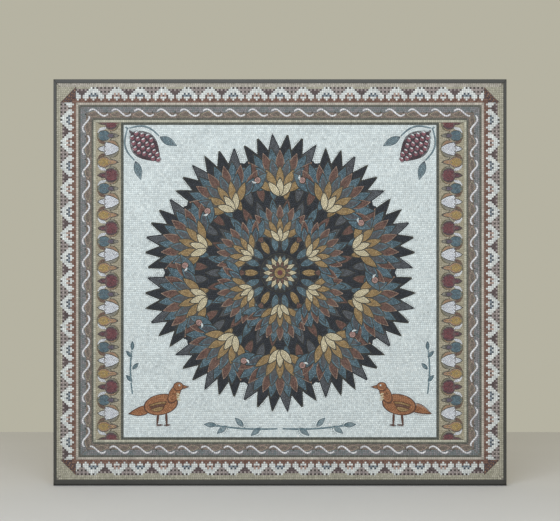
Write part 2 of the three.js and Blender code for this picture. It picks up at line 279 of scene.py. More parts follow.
def readStones(field):
    # a stone's corners are its cells that lie farthest along the four diagonals of its own course
    keys = field["key"].ravel()
    used = np.flatnonzero(keys >= 0)
    order = used[np.argsort(keys[used], kind="stable")]
    isFirst = np.r_[True, np.diff(keys[order]) != 0]
    starts = np.flatnonzero(isFirst)
    group = np.cumsum(isFirst) - 1
    counts = np.diff(np.r_[starts, len(order)])
    rowNumber, columnNumber = np.divmod(order, len(field["x"]))
    x = field["x"][columnNumber]
    z = field["z"][rowNumber]
    angle = field["angle"].ravel()[order]
    course = np.arctan2(np.add.reduceat(np.sin(angle), starts), np.add.reduceat(np.cos(angle), starts))
    ux, uz = np.cos(course), np.sin(course)
    a = x * ux[group] + z * uz[group]
    b = -x * uz[group] + z * ux[group]
    corners = []
    for sa, sb in ((-1, -1), (1, -1), (1, 1), (-1, 1)):
        score = sa * a + sb * b
        hits = np.flatnonzero(score > np.maximum.reduceat(score, starts)[group] - 1e-6)
        best = hits[np.r_[True, np.diff(group[hits]) != 0]]
        half = stoneCut["cell"] / 2
        cornerX = x[best] + half * (sa * ux - sb * uz)
        cornerZ = z[best] + half * (sa * uz + sb * ux)
        corners.append(np.stack([cornerX, cornerZ], 1))
    corners = np.stack(corners, 1)
    large = counts * stoneCut["cell"] ** 2 > stoneCut["smallest"]
    firsts = order[starts]
    numbers = field["paint"].ravel()[firsts]
    homes = field["home"].ravel()[firsts]
    return corners[large], numbers[large], homes[large]


def keepField(field, turnedTo=lambda corners: corners, chosen=lambda corners: slice(None)):
    # a field's chosen stones, turned to their place on the panel, go to the nodes they are painted for
    corners, numbers, homes = readStones(field)
    part = chosen(corners)
    corners, numbers, homes = turnedTo(corners[part]), numbers[part], homes[part]
    for number, home in enumerate(field["homes"]):
        keep(home, corners[homes == number], numbers[homes == number])


def sidesOf(box):
    # borders run clockwise round the panel, s along a side and d inward from its outer edge:
    # start, direction of s, direction of d and length of the four sides of a box
    left, bottom, right, top = box
    return {
        "top": (np.array([left, top]), np.array([1, 0]), np.array([0, -1]), right - left),
        "right": (np.array([right, top]), np.array([0, -1]), np.array([-1, 0]), top - bottom),
        "bottom": (np.array([right, bottom]), np.array([-1, 0]), np.array([0, 1]), right - left),
        "left": (np.array([left, bottom]), np.array([0, 1]), np.array([1, 0]), top - bottom),
    }


def quadsOf(a, b, near, far):
    # four corners of each stone that runs from a to b along a strip and from near to far across it
    return np.stack([np.stack([a, near], 1), np.stack([b, near], 1),
                     np.stack([b, far], 1), np.stack([a, far], 1)], 1)


def laid(strip, side):
    # (s, d) to the panel's (x, z): start + s * sideways + d * inward
    start, sideways, inward, _ = side
    return start + strip[..., :1] * sideways + strip[..., 1:] * inward


def mitred(strip, length):
    # corners past a corner's diagonal are drawn back to it, and stones wholly past it are dropped
    s, d = strip[..., 0], strip[..., 1]
    middle = strip.mean(axis=1)
    inside = (middle[:, 0] > middle[:, 1]) & (middle[:, 0] < length - middle[:, 1])
    cut = np.stack([np.clip(s, d, length - d), d], axis=-1)
    return cut[inside], inside


def stripCourse(length, near, far, pitch, seed):
    # one course of stones from d = near to d = far; joints are even with a small random shift
    count = max(int(round(length / pitch)), 1)
    joints = np.linspace(0, length, count + 1)
    joints[1:-1] += np.random.default_rng(seed).uniform(-0.09, 0.09, count - 1) * pitch
    return quadsOf(joints[:-1], joints[1:], np.full(count, near), np.full(count, far))


def layCourses(node, box, coursesOf, pitch):
    # plain courses round a box; coursesOf(a side's name) gives (near, far, paint) of each
    for number, (name, side) in enumerate(sidesOf(box).items()):
        for step, (near, far, paint) in enumerate(coursesOf(name)):
            strip = stripCourse(side[3], near, far, pitch, 10 * number + step)
            strip, _ = mitred(strip, side[3])
            keep(node, laid(strip, side), np.full(len(strip), paintNumber[paint]))


rings = {  # courses from the outer edge inward, and the length of their stones
    "outer_fillet": {"courses": [(0, 8, "cream")], "pitch": 6.0},
    "inner_fillet": {"courses": [(0, 7.5, "oliveCream")], "pitch": 6.0},
    "dark_line": {"courses": [(0, 4, "darkLine"), (4, 8, "darkLine")], "pitch": 5.5},
}


def layRing(node):
    # a ring of plain courses from its own values
    ring = rings[node]
    layCourses(node, faceBox(node), lambda name: ring["courses"], ring["pitch"])


zigzag = {
    "stone": 6.0,
    "toothStones": 12,     # from notch to notch
    "cornerStones": 3,     # from the side's end to the first notch
    "checkedWidth": 25.0,  # of the corner's brown and dark checks
    "band": 36.0,          # six courses
    "redLine": 12.0,       # two courses
    "counts": {"top": 17, "right": 15, "bottom": 17, "left": 15},
    "whiteFrom": (5, 4, 3, 2, 1),  # in each course, how far from the notch the white begins
}


def zigzagPaint(row, step, tooth):
    # paint of a stone from its course, its distance from the nearest notch and its tooth's number
    near = np.abs(step)
    width = zigzag["toothStones"] // 2 - near  # distance from the tooth's middle
    isWhite = near >= np.array(zigzag["whiteFrom"] + (0, 0, 0))[row]
    paint = np.full(row.shape, paintNumber["beige"])
    put = lambda mask, name: np.place(paint, mask, paintNumber[name])
    solid = (tooth % 2 == 0)  # which of the two fillings stands at the notch
    put(~isWhite & solid & (row >= 1), "purple")
    put(~isWhite & solid & (row == 1) & (near % 2 == 0), "greyPink")
    put(~isWhite & ~solid, "greyPink")
    put(~isWhite & ~solid & (row % 2 == 0) & (near % 2 == 0), "dot")
    put(isWhite & (row < 5), "zigzagWhite")
    put((row == 0) & (width == 0), "dot")
    inM = ((row == 4) & (width % 2 == 0) & (width <= 2)) | ((row == 3) & (width == 1))
    between = (row == 4) & (width == 1)
    upper = (row == 3) & (width == 1)
    isWine = (toothOfMiddle(step, tooth) % 2 == 1)
    put(inM, "navyDot")
    put(between, "navyPale")
    put(inM & isWine, "wineDot")
    put((upper | between) & isWine, "pale")
    put(row == 5, "zigzagWhite")
    put((row == 5) & ((width == 2) | (width == 6)), "red")
    put(row >= 6, "red")
    put((row == 6) & ((width == 0) | (width == 4)), "zigzagWhite")
    return paint, isWhite & (row < 5) | (row == 5)


def toothOfMiddle(step, tooth):
    # stones before a notch belong to the tooth before it
    return np.where(step < 0, tooth - 1, tooth)


def layZigzag(redBox):
    # square stones on a grid with twelve to a tooth, a notch stone centred on each notch
    stone, red, band = zigzag["stone"], zigzag["redLine"], zigzag["band"]
    perTooth, ends = zigzag["toothStones"], zigzag["cornerStones"]
    courses = round((red + band) / stone)
    for name, side in sidesOf(redBox).items():
        count = perTooth * zigzag["counts"][name]
        length = side[3] - 2 * red
        firstNotch = ends * stone
        pitch = (length - 2 * firstNotch) / count
        column = np.arange(-ends, count + ends + 1)
        edges = np.clip(firstNotch + (np.append(column, column[-1] + 1) - 0.5) * pitch, 0, length)
        tooth = np.round(column / perTooth).astype(int)
        step = column - perTooth * tooth
        grids = np.meshgrid(np.arange(courses), np.arange(len(column)), indexing="ij")
        row, which = (grid.ravel() for grid in grids)
        near = row * stone - band
        a, b = edges[which] + red, edges[which + 1] + red
        corners = laid(quadsOf(a, b, near, near + stone), side)
        paint, isWhite = zigzagPaint(row, step[which], tooth[which])
        wide = b - a > 1
        inRed = row >= band / stone
        for node, part in ((f"white_zigzag_{name}", isWhite & ~inRed), ("red_line", inRed),
                           ("outer_margin", ~isWhite & ~inRed)):
            keep(node, corners[part & wide], paint[part & wide])
        # the red line's own corner, at this side's start
        for low in (0, stone):
            for off in (0, stone):
                square = [np.array([value], float) for value in (low, low + stone, off, off + stone)]
                keep("red_line", laid(quadsOf(*square), side), np.array([paintNumber["red"]]))


def layCornerChecks(redBox):
    # three diagonal courses of checks inside the cut corner, dark stones behind them
    left, bottom, right, top = redBox
    red, band = zigzag["redLine"], zigzag["band"]
    pitch = (zigzag["stone"], zigzag["stone"])
    cut = band - red  # u + v on the corner's diagonal edge
    checks = lambda row, column: (row + column) % 2
    corners = {"top_left": (-1, 1), "top_right": (1, 1), "bottom_right": (1, -1), "bottom_left": (-1, -1)}
    for name, (cx, cz) in corners.items():
        x0 = right if cx > 0 else left
        z0 = top if cz > 0 else bottom
        box = [min(x0 - cx * red, x0 + cx * band), min(z0 - cz * red, z0 + cz * band),
               max(x0 - cx * red, x0 + cx * band), max(z0 - cz * red, z0 + cz * band)]
        field = newField(box)
        turn = math.atan2(-cz, cx)
        u = lambda x: (x - x0) * cx
        v = lambda z: (z - z0) * cz
        inPiece = lambda x, z: (u(x) + v(z) < cut) & ~((u(x) < 0) & (v(z) < 0))
        inner = lambda x, z: inPiece(x, z) & (u(x) + v(z) < cut - zigzag["checkedWidth"])
        beyond = lambda x, z: u(x) + v(z) >= cut
        node = f"corner_check_{name}"
        paintRows(field, node, ["brown", "purple"], pitch, checks, turn, inPiece)
        paintRows(field, node, ["purple"], pitch, None, turn, inner)
        paintRows(field, "outer_margin", ["beige"], pitch, None, 0, beyond)
        keepField(field)


def layMargin(redBox):
    # two courses on each side share the way from the frame's sight edge to the zigzag
    sight = np.array([faceBox("frame_left")[2], faceBox("frame_bottom")[3],
                      faceBox("frame_right")[0], faceBox("frame_top")[1]])
    zigzagBox = redBox + zigzag["band"] * np.array([-1, -1, 1, 1])
    depths = dict(zip(("left", "bottom", "right", "top"), np.abs(zigzagBox - sight)))

    def coursesOf(name):
        half = depths[name] / 2
        paint = "pinkBeige" if name == "top" else "beige"
        return [(0, half, paint), (half, 2 * half, paint)]

    layCourses("outer_margin", sight, coursesOf, zigzag["stone"])


wave = {
    "depth": 46.0,         # of the band
    "courses": 8,
    "pitch": 5.75,
    "counts": {"top": 17, "right": 15, "bottom": 17, "left": 15},
    "length": 60.0,        # of a white stroke
    "swing": 10.5,
    "width": 5.4,
    "lens": (50, 19),      # length and width of the faint leaf under a stroke
}


def layWaves():
    # dark edge courses, a cool outer and a warm inner half, faint lenses and white strokes;
    # a stroke's middle line is swing * sin(phase) and its half width grows with the slope, hypot(1, slope)
    depth, home = wave["depth"], "wave_border"
    phase = lambda t: 2 * np.pi * (0.08 + 0.84 * t)
    slope = wave["swing"] * 2 * np.pi * 0.84 / wave["length"]
    swing = lambda t: -wave["swing"] * np.sin(phase(t))
    stroke = lambda t: wave["width"] / 2 * np.hypot(1, slope * np.cos(phase(t)))
    tones = ["waveEdge"] + ["waveOuter"] * 3 + ["waveInner"] * 3 + ["waveEdge"]
    for name, side in sidesOf(faceBox(home)).items():
        length = side[3]
        field = newField([0, 0, length, depth])
        pitch = (wave["pitch"], depth / wave["courses"])
        paintRows(field, home, tones, pitch, lambda row, column: row, seed=len(name))
        count = wave["counts"][name]
        period = (length - depth) / count
        for number in range(count):
            s = depth / 2 + (number + 0.12) * period
            place = (s - 6, depth * 0.66)
            paintLeaf(field, place, -0.1, *wave["lens"], ["lens", "waveInner"], home, edge=3.2)
            end = (s + wave["length"] - 4, depth / 2 - 1)
            paintDisc(field, end, (3, 3), 0, ["ink"], home, stone=9)
            paintBlade(field, (s, depth / 2), 0, wave["length"], stroke, swing, ["stroke"], home,
                       edge=0, course=8, stone=6)
        toPanel = lambda strip, side=side, length=length: laid(mitred(strip, length)[0], side)
        inside = lambda strip, length=length: mitred(strip, length)[1]
        keepField(field, toPanel, inside)


lotus = {
    "stone": 5.6,          # of the ground
    "steps": 24,           # flowers down the band, with the first and last cut at their middle
    "kinds": ("wine", "teal", "white", "ochre"),
}
lotusForms = {  # stations along a flower and its half width there, from its round end to the tip
    "bulb": ((0, 0.05, 0.14, 0.26, 0.40, 0.52, 0.58, 0.66, 0.78, 1),
             (0, 9, 14.5, 17, 16.5, 12, 7, 8.5, 7, 0)),
    "bloom": ((0, 0.05, 0.14, 0.30, 0.46, 0.58, 0.63, 0.72, 0.82, 1),
              (0, 10, 17, 22, 22, 18, 8, 9, 7.5, 0)),
    "cup": ((0, 0.04, 0.10, 0.30, 0.50, 0.60, 0.64, 0.68, 0.85, 1),
            (0, 6, 10, 17.5, 21, 22, 20, 10.5, 7.5, 0)),
}
calyxes = {  # middle and radii of the oval behind a flower, then the tones of its upper and lower sepal
    "wine": (52.5, (20.5, 27), "sepalGrey", "peach"),
    "teal": (26.5, (23.5, 27), "lotusWhite", "sepalBrown"),
    "white": (52.5, (20.5, 27), "peach", "sepalGrey"),
    "ochre": (26.5, (23.5, 27), "sepalBrown", "lotusWhite"),
}


def paintForm(field, form, place, turn, length, tones, home, edge=2.2):
    # half width is read off the form's stations, straight between them
    half = lambda t: np.interp(t, *lotusForms[form])
    paintBlade(field, place, turn, length, half, np.zeros_like, tones, home, edge=edge, stone=5)


def paintCalyx(field, kind, z, home):
    # a dark-rimmed oval, x from the band's outer edge; neighbours touch, so their rims wind down the band
    middle, radii = calyxes[kind][:2]
    paintDisc(field, (middle, z), radii, 0, ["oliveDark", "lotusGround"], home, edge=3.0)


def paintSepals(field, kind, z, home):
    # two leaves that hug the oval's rim above and below the flower
    for sign, tone in ((1, calyxes[kind][2]), (-1, calyxes[kind][3])):
        if kind in ("teal", "ochre"):
            paintLeaf(field, (5.5, z + sign * 8), sign * 0.56, 33, 13, [tone], home, bend=sign * 2.5)
        else:
            paintLeaf(field, (37, z + sign * 24), -sign * 0.46, 36, 12, [tone], home, bend=sign * 2.5)


def paintLotus(field, kind, z, home):
    # a flower across the band; kinds point outward and inward by turns
    if kind == "wine":
        paintForm(field, "bloom", (73, z), math.pi, 70, ["ink", "lotusPurple", "lotusWine"], home)
    elif kind == "teal":
        paintForm(field, "bulb", (4, z), 0, 69, ["ink", "lotusTeal"], home)
        paintLeaf(field, (36, z), 0, 26, 14, ["ink", "lotusPlum"], home, edge=1.6)
        paintLeaf(field, (52, z), 0, 21, 11, ["ink", "sepalGrey"], home, edge=1.6)
    elif kind == "white":
        paintForm(field, "cup", (73, z), math.pi, 70, ["ink", "lotusWhite"], home)
    else:
        paintForm(field, "bulb", (4, z), 0, 69, ["ink", "peach", "lotusOchre"], home)
        paintDisc(field, (24, z), (14, 12), 0, ["lotusOchre"], home)


def layLotus(side, sign):
    # the chain from the top down; the right band mirrors the left one
    outer = faceBox(f"lotus_ground_outer_{side}")
    inner = faceBox(f"lotus_ground_inner_{side}")
    left, right = min(outer[0], inner[0]), max(outer[2], inner[2])
    width, height = right - left, outer[3] - outer[1]
    field = newField([0, 0, width, height])
    tones = ["lotusGround"]
    halfWay = width / 2
    pitch = (lotus["stone"], lotus["stone"])
    isOuter, isInner = (lambda x, z: x < halfWay), (lambda x, z: x >= halfWay)
    paintRows(field, f"lotus_ground_outer_{side}", tones, pitch, None, 0, isOuter, 3)
    paintRows(field, f"lotus_ground_inner_{side}", tones, pitch, None, 0, isInner, 4)
    home = f"lotus_chain_{side}"
    flowers = [(lotus["kinds"][number % 4], height - number * height / lotus["steps"])
               for number in range(lotus["steps"] + 1)]
    for paintPart in (paintCalyx, paintSepals, paintLotus):
        for kind, z in flowers:
            paintPart(field, kind, z, home)

    def toPanel(corners):
        x = left + corners[..., 0] if sign < 0 else right - corners[..., 0]
        return np.stack([x, outer[1] + corners[..., 1]], axis=-1)

    keepField(field, toPanel)


medallion = {
    "centre": (0.0, 30.0),
    "fanOrigin": 235.0,    # outer fans open from this radius
    "innerOrigin": 95.0,
    "innerScale": 0.80,
    "tips": {"count": 6, "spread": 70, "reach": 200, "length": 118, "width": 44},
    "rosette": 61.0,
    "outerFans": 10,
    "innerFans": 6,
    "lobe": 150.0,         # dark disc behind an outer fan
    "core": 245.0,         # dark disc under them all
}
fanLayers = (  # count, spread in degrees, reach, length, width, tones, skew
    (8, 150, 158, 84, 33, ("ink", "tealLeaf"), 0.8),
    (7, 128, 146, 72, 27, ("rustEdge", "rust"), 0.85),
    (6, 130, 122, 70, 30, ("ink", "tealLeaf", "greyLeaf"), 0.8),
    (5, 108, 99, 72, 27, ("ink", "ochreLeaf"), 0.85),
    (3, 76, 64, 64, 25, ("ink", "creamLeaf"), 0.85),
)
underLeaves = (  # leaves between the fans: count, radius where they start, length, width, tones by turns
    (40, 222, 76, 27, ("tealLeaf", "rust", "greyLeaf", "ochreLeaf")),
    (30, 168, 66, 26, ("tealLeaf", "greyLeaf", "rust")),
    (18, 64, 60, 24, ("tealLeaf", "ochreLeaf", "tealLeaf")),
    (18, 104, 62, 26, ("greyLeaf", "rust", "tealLeaf")),
)


def onCircle(centre, radius, angle):
    # centre + radius * (cos, sin) of the angle
    return np.array([centre[0] + radius * math.cos(angle), centre[1] + radius * math.sin(angle)])


def paintFan(field, origin, heading, scale, home):
    # layers of leaves open from the origin, the outermost first
    for count, spread, reach, length, width, tones, skew in fanLayers:
        for number in range(count):
            angle = heading + math.radians(spread) * (number / (count - 1) - 0.5)
            place = onCircle(origin, scale * (reach - length), angle)
            paintLeaf(field, place, angle, scale * length, scale * width, tones, home, skew=skew,
                      edge=2.3, course=4.3)


def paintFruit(field, place, turn, home):
    # a round fruit with a white glint at its side
    paintDisc(field, place, (11.5, 11.5), turn, ["ink", "fruit"], home, edge=2)
    paintLeaf(field, onCircle(place, 8, turn + 2.2), turn + 0.6, 17, 7, ["white"], home, bend=2.5, edge=4)


def paintMedallion(field):
    # dark lobes and pointed tips, then leaves between the fans, outer fans, inner fans and the rosette
    centre = medallion["centre"]
    home = "leaf_medallion"
    count = medallion["outerFans"]
    headings = [math.pi / 2 + 2 * math.pi * number / count for number in range(count)]
    tips = medallion["tips"]
    for isHalo in (True, False):  # the white course round the tips comes before all of the tips
        for heading in headings:
            origin = onCircle(centre, medallion["fanOrigin"], heading)
            if not isHalo:
                paintDisc(field, origin, (medallion["lobe"],) * 2, 0, ["navy"], home, course=5.6, stone=5.8)
            for number in range(tips["count"]):
                angle = heading + math.radians(tips["spread"]) * (number / (tips["count"] - 1) - 0.5)
                place = onCircle(origin, tips["reach"] - tips["length"], angle)
                paint = paintHaloedLeaf if isHalo else paintLeaf
                tones = ("ink", "navy", "navy") if number % 3 else ("navy", "greyLeaf")
                paint(field, place, angle, tips["length"], tips["width"], tones, home, skew=0.6)
    paintDisc(field, centre, (medallion["core"],) * 2, 0, ["navy"], home, course=5.6, stone=5.8)
    for count, near, length, width, tones in underLeaves:
        for leaf in range(count):
            angle = math.pi / 2 + 2 * math.pi * (leaf + 0.5) / count
            tone = tones[leaf % len(tones)]
            place = onCircle(centre, near, angle)
            paintLeaf(field, place, angle, length, width, ("ink", tone), home, edge=2.3)
    for number, heading in enumerate(headings):
        origin = onCircle(centre, medallion["fanOrigin"], heading)
        paintFan(field, origin, heading, 1, f"leaf_fan_outer_{number + 1}")
        for sign in (1, -1):
            paintFruit(field, onCircle(origin, 118, heading + sign * 1.25), heading, home)
    for number in range(medallion["innerFans"]):
        heading = math.pi / 2 + 2 * math.pi * number / medallion["innerFans"]
        origin = onCircle(centre, medallion["innerOrigin"], heading)
        paintFan(field, origin, heading, medallion["innerScale"], f"leaf_fan_inner_{number + 1}")
    paintRosette(field, centre)


def paintRosette(field, centre):
    # pointed petals round a ring and a button
    radius = medallion["rosette"]
    paintDisc(field, centre, (radius, radius), 0, ["ink", "navy"], "rosette")
    count, near = 12, 12  # petals in a ring, and the radius where they start
    for tone, reach, shift in (("tealLeaf", 60, 0.5), ("creamLeaf", 55, 0), ("rust", 38, 0.5)):
        for number in range(count):
            angle = 2 * math.pi * (number + shift) / count
            place = onCircle(centre, near, angle)
            paintLeaf(field, place, angle, reach - near, 17 * reach / 55, ["ink", tone], "rosette", edge=1.6)
    paintDisc(field, centre, (19, 19), 0, ["ink", "ochreLeaf", "ochreLeaf", "lotusWine"], "rosette", edge=2)


def mirrored(sign):
    # motifs are drawn for the left side; for the right side places and turns are mirrored
    def at(x, z):
        return np.array([sign * x, z])

    def heading(turn):
        return turn if sign > 0 else math.pi - turn

    return at, heading


grapes = {
    "inset": 6.0,          # from the picture's corner
    "berry": 9.2,          # radius
    "rows": ((2, 38), (3, 53), (4, 68), (4, 84), (3, 100), (2, 116), (2, 129), (1, 143)),  # count, along
    "stems": ((0, 0.02, 0, 34), (8, 0.54, 20, 104), (8, -0.54, -20, 104)),  # start, tilt, bend, length
    "stem": 2.7,           # half widths of a stem and of the white round it
    "halo": 7.5,
    "leaf": (62, 25),
}


def paintGrapes(field, picture, side, sign):
    # a bunch hangs inward from the corner on the diagonal, between two stems that end in leaves
    at, heading = mirrored(sign)
    home = f"grapes_{side}"
    left, top = picture[0] + grapes["inset"], picture[3] - grapes["inset"]
    turn = -math.pi / 4

    def local(along, across):
        c, s = math.cos(turn), math.sin(turn)
        return at(left + along * c - across * s, top + along * s + across * c)

    stemTones = ("blueGreyEdge", "blueGrey")
    stem = lambda t: np.full_like(t, grapes["stem"])
    halo = lambda t: np.full_like(t, grapes["halo"])
    for start, tilt, bend, length in grapes["stems"]:
        curve = lambda t, bend=bend: sign * bend * np.sin(np.pi * t)
        place, way = local(start, 0), heading(turn + tilt)
        paintBlade(field, place, way, length, halo, curve, ["white"], "white_ground", edge=4.8)
        paintBlade(field, place, way, length, stem, curve, stemTones, home, edge=0, course=7)
    paintHaloedLeaf(field, local(96, 53), heading(turn + 0.30), *grapes["leaf"], stemTones, home)
    paintHaloedLeaf(field, local(96, -53), heading(turn - 0.50), *grapes["leaf"], stemTones, home)
    paintHaloedLeaf(field, local(22, 0), heading(turn), 130, 82, ("grapeDark",), home)
    radius = grapes["berry"]
    for count, along in grapes["rows"]:
        for number in range(count):
            place = local(along, (number - (count - 1) / 2) * 2 * radius * 0.98)
            paintDisc(field, place, (radius, radius), 0, ["grapeDark", "grape"], home,
                      edge=2.2, course=4, stone=5)
            paintLeaf(field, place + at(-5, 2) - at(0, 0), heading(0.5), 11, 5.4, ["white"], home, edge=3)


bird = {
    "scale": 0.9,
    "place": (115, 101),   # body's middle from the picture's lower corner
    "halo": 5.0,           # white course round the bird
    "legs": ((-8, -0.1), (18, 0.05)),
}


def paintBird(field, picture, side, sign):
    # legs and feet, tail, body, neck, bill and head, first in white and wider, then in their colours
    at, heading = mirrored(sign)
    home = f"bird_{side}"
    scale = bird["scale"]
    x0, z0 = picture[0] + bird["place"][0], picture[1] + bird["place"][1]
    place = lambda x, z: at(x0 + scale * x, z0 + scale * z)
    down = -math.pi / 2
    passes = ((bird["halo"], 3, ("white",), "white_ground"), (0, 2.4, ("russetEdge", "russet"), home))
    for size, edge, colours, where in passes:
        rest = (colours, where)
        leaf = lambda spot, turn, length, width, **more: paintLeaf(
            field, place(*spot), heading(turn), length, width + 2 * size, *rest, **more)
        disc = lambda spot, turn, a, b: paintDisc(
            field, place(*spot), (a * scale + size, b * scale + size), turn, *rest, edge=edge)
        for x, tilt in bird["legs"]:
            leaf((x, -22), down + tilt, 54 * scale + size, 8, edge=3)
            leaf((x - 8, -72), 0.1, 26 * scale, 7, edge=3)
        leaf((-22, -4), math.pi + 0.3, 96 * scale + size, 34 * scale, bend=4)
        disc((0, 0), heading(0.2), 60, 36)
        disc((46, 36), heading(1.1), 36, 19)
        leaf((66, 60), 0.02, 34 * scale + size, 15 * scale, skew=0.5)
        disc((60, 62), 0, 18, 16)
    for number, tone in enumerate(("ochreLeaf", "rust", "ochreLeaf")):
        feather = place(22 - 4 * number, 10 - 9 * number)
        paintLeaf(field, feather, heading(math.pi + 0.18), (70 - 8 * number) * scale, 16,
                  ("russetEdge", tone), home, bend=4 * sign, edge=1.8)
    for number in range(3):
        paintLeaf(field, place(52, 40 - 9 * number), heading(-0.5), 16, 7, ("creamLeaf",), home, edge=3)
    for radius, tone in ((3.4, "white"), (1.8, "ink")):  # eye
        paintDisc(field, place(64, 66), (radius, radius), 0, (tone,), home, stone=9)


sprig = {
    "stem": 2.4,           # half widths of a stem and of the white round it
    "halo": 7.0,
    "tilt": 0.75,          # of its side leaves
    "slender": 0.42,       # a leaf's width over its length
}


def paintSprig(field, place, turn, length, leaves, leafLength, sign, home, bend=6):
    # a curved stem with leaves on both sides by turns and one at its end
    tones = ("blueGreyEdge", "blueGrey")
    curve = lambda t: sign * bend * np.sin(np.pi * t)
    stem = lambda t: np.full_like(t, sprig["stem"])
    wide = lambda t: np.full_like(t, sprig["halo"])
    paintBlade(field, place, turn, length, wide, curve, ["white"], "white_ground", edge=4.8)
    for number in range(leaves + 1):
        along = length * (number + 1) / (leaves + 1)
        tilt = 0 if number == leaves else (sprig["tilt"] if number % 2 == 0 else -sprig["tilt"])
        start = onCircle(place, along * (0.9 if number == leaves else 1), turn)
        width = leafLength * sprig["slender"]
        paintHaloedLeaf(field, start, turn + sign * tilt, leafLength, width, tones, home)
    paintBlade(field, place, turn, length, stem, curve, tones, home, edge=0, course=7)


def layPicture():
    # white courses, the medallion, then each corner's motifs on the left and mirrored on the right
    picture = faceBox("white_ground")
    field = newField(picture)
    paintRows(field, "white_ground", ["white"], (6.2, 6.0))
    paintMedallion(field)
    for side, sign in (("left", 1), ("right", -1)):
        at, heading = mirrored(sign)
        paintGrapes(field, picture, side, sign)
        paintBird(field, picture, side, sign)
        upright, lying = at(picture[0] + 27, picture[1] + 134), at(-8, picture[1] + 26)
        paintSprig(field, upright, math.pi / 2, 150, 3, 30, sign, f"sprig_{side}")
        paintSprig(field, lying, heading(math.pi - 0.06), 210, 3, 40, sign, "leaf_scroll")
    keepField(field)


def drawnIn(quads, distance):
    # corners move inward so that each edge comes in by the distance: (n1 + n2) / (1 + n1 . n2)
    before = quads - np.roll(quads, 1, axis=1)
    after = np.roll(quads, -1, axis=1) - quads
    before = before / np.maximum(np.linalg.norm(before, axis=2, keepdims=True), 1e-3)
    after = after / np.maximum(np.linalg.norm(after, axis=2, keepdims=True), 1e-3)
    both = before + after
    inward = np.stack([-both[..., 1], both[..., 0]], axis=-1)
    return quads + distance * inward / np.maximum(1 + np.sum(before * after, axis=2, keepdims=True), 0.6)


def signedArea(quads):
    # half the sum of the cross products of neighbouring corners
    x, z = quads[..., 0], quads[..., 1]
    return 0.5 * np.sum(x * np.roll(z, -1, axis=1) - np.roll(x, -1, axis=1) * z, axis=1)


def stoneMesh(node):
    # each stone is a face, four sloping sides and no back: its foot stands in the grout
    quads = np.concatenate([corners for corners, _ in stonesOf[node]])
    numbers = np.concatenate([number for _, number in stonesOf[node]])
    area = signedArea(quads)
    quads = np.where((area < 0)[:, None, None], quads[:, ::-1], quads)
    size = np.sqrt(np.abs(area))[:, None, None]
    good = np.abs(area) > stoneCut["smallest"]
    quads, numbers, size = quads[good], numbers[good], size[good]
    draw = np.random.default_rng(sum(map(ord, node)))
    foot = drawnIn(quads, np.minimum(stoneCut["grout"] / 2, 0.12 * size))
    top = drawnIn(foot, np.minimum(stoneCut["arris"], 0.08 * size))
    top = top + draw.uniform(-0.08, 0.08, top.shape)
    sink = draw.uniform(0, stoneCut["tilt"], top.shape[:2]) + draw.uniform(0, 0.12, (len(top), 1))
    count = len(quads)
    points = np.empty((count, 8, 3))
    points[:, :4, 0], points[:, :4, 2] = top[..., 0], top[..., 1]
    points[:, :4, 1] = -(stoneCut["front"] - sink)
    points[:, 4:, 0], points[:, 4:, 2] = foot[..., 0], foot[..., 1]
    points[:, 4:, 1] = -(stoneCut["bedding"] - 0.1)
    pattern = np.array([[0, 1, 2, 3], [4, 5, 1, 0], [5, 6, 2, 1], [6, 7, 3, 2], [7, 4, 0, 3]])
    faces = (pattern[None] + 8 * np.arange(count)[:, None, None]).reshape(-1, 4)
    low, high = paintEnds[numbers, 0], paintEnds[numbers, 1]
    colours = low + (high - low) * draw.random((count, 1))
    colours = colours * (1 + stoneCut["tint"] * draw.standard_normal((count, 1)))
    return points.reshape(-1, 3), faces, np.repeat(np.clip(colours, 0.005, 0.95), 8, axis=0)


def beddingMesh(node):
    # the CAD plate with its front face set back to the grout level
    mesh = bpy.data.objects[node].data
    points = np.empty(3 * len(mesh.vertices), np.float32)
    mesh.vertices.foreach_get("co", points)
    points = points.reshape(-1, 3).astype(float) * 1000
    points[:, 1] = np.maximum(points[:, 1], -stoneCut["bedding"])
    mesh.calc_loop_triangles()
    triangles = np.empty(3 * len(mesh.loop_triangles), np.int32)
    mesh.loop_triangles.foreach_get("vertices", triangles)
    return points, triangles.reshape(-1, 3)


def placed(name, data):
    # a new object of the scene, at its origin
    thing = bpy.data.objects.new(name, data)
    bpy.context.scene.collection.objects.link(thing)
    return thing


